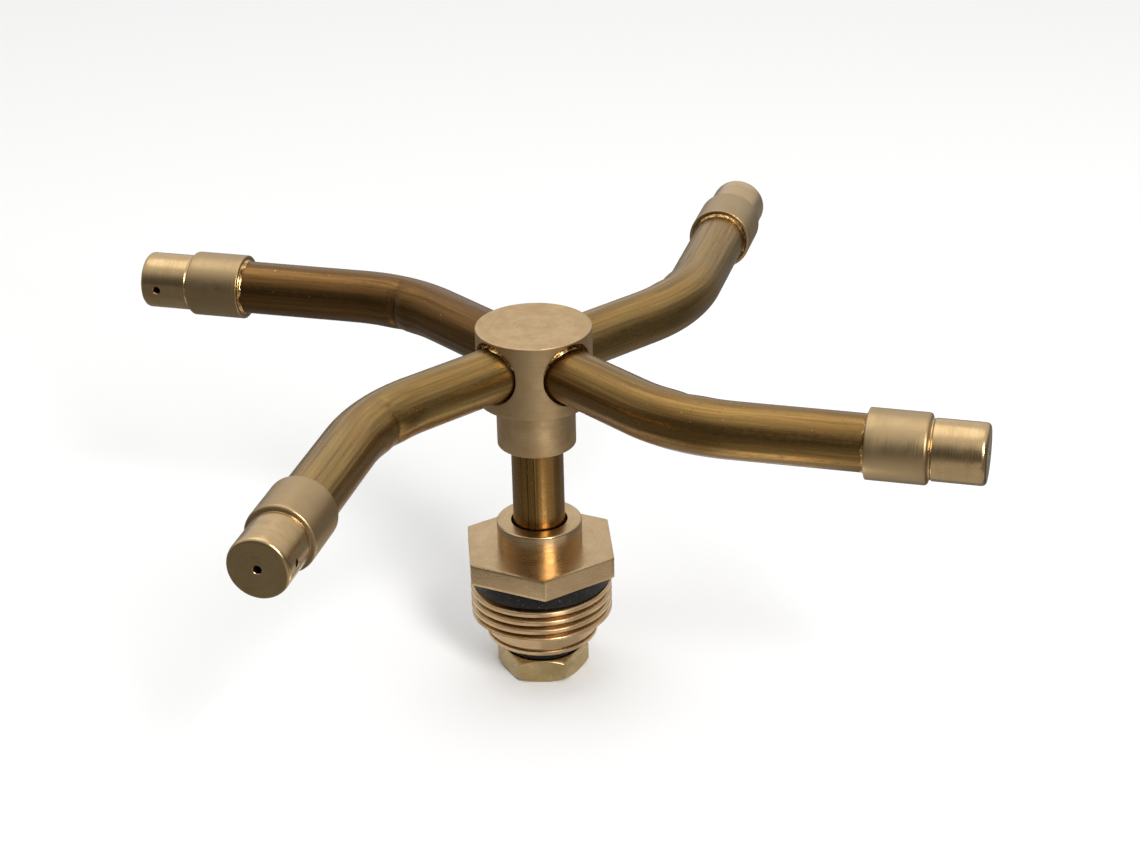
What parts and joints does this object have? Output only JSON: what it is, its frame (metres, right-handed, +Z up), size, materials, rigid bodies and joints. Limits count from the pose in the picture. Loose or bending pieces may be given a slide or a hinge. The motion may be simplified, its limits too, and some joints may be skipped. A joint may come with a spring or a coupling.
{
  "type": "rotary sprinkler head",
  "caption": "Brass rotary garden sprinkler head: bent arms with stepped nozzle caps on a hollow stem that slides and spins in a threaded hex fitting.",
  "frame": {"origin": "centre of the retaining nut's bottom face, on the spin axis", "axes": "+Z up along the spin axis towards the hub's top; a corner of the fitting's spanner hex points to -Y"},
  "size_m": [0.1478, 0.1478, 0.0699],
  "materials": {
    "turned_brass": "fine satin from turning",
    "tube_brass": "drawn tube with lengthwise streaks, olive-brown",
    "nut_brass": "satin",
    "solder": "glossy amber braze",
    "rubber": "smooth black rubber"
  },
  "bodies": {
    "fitting": {"fitting_body": "turned_brass", "sealing_ring": "rubber"},
    "washer": {"thrust_washer": "rubber"},
    "rotor": {"hub": "turned_brass", "arm_tube_1": "tube_brass", "arm_tube_2": "tube_brass", "arm_tube_3": "tube_brass", "arm_tube_4": "tube_brass", "nozzle_cap_1": "turned_brass", "nozzle_cap_2": "turned_brass", "nozzle_cap_3": "turned_brass", "nozzle_cap_4": "turned_brass", "hub_solder_1": "solder", "hub_solder_2": "solder", "hub_solder_3": "solder", "hub_solder_4": "solder", "cap_solder_1": "solder", "cap_solder_2": "solder", "cap_solder_3": "solder", "cap_solder_4": "solder", "stem_tube": "tube_brass", "stem_solder": "solder", "retaining_nut": "nut_brass"}
  },
  "joints": [
    {"name": "stem_slide", "type": "slide", "parent": "fitting", "child": "washer", "axis": [0, 0, 1], "range_m": [-0.0158, 0]},
    {"name": "rotor_spin", "type": "hinge", "parent": "washer", "child": "rotor", "pos_m": [0, 0, 0], "axis": [0, 0, 1], "continuous": true}
  ]
}
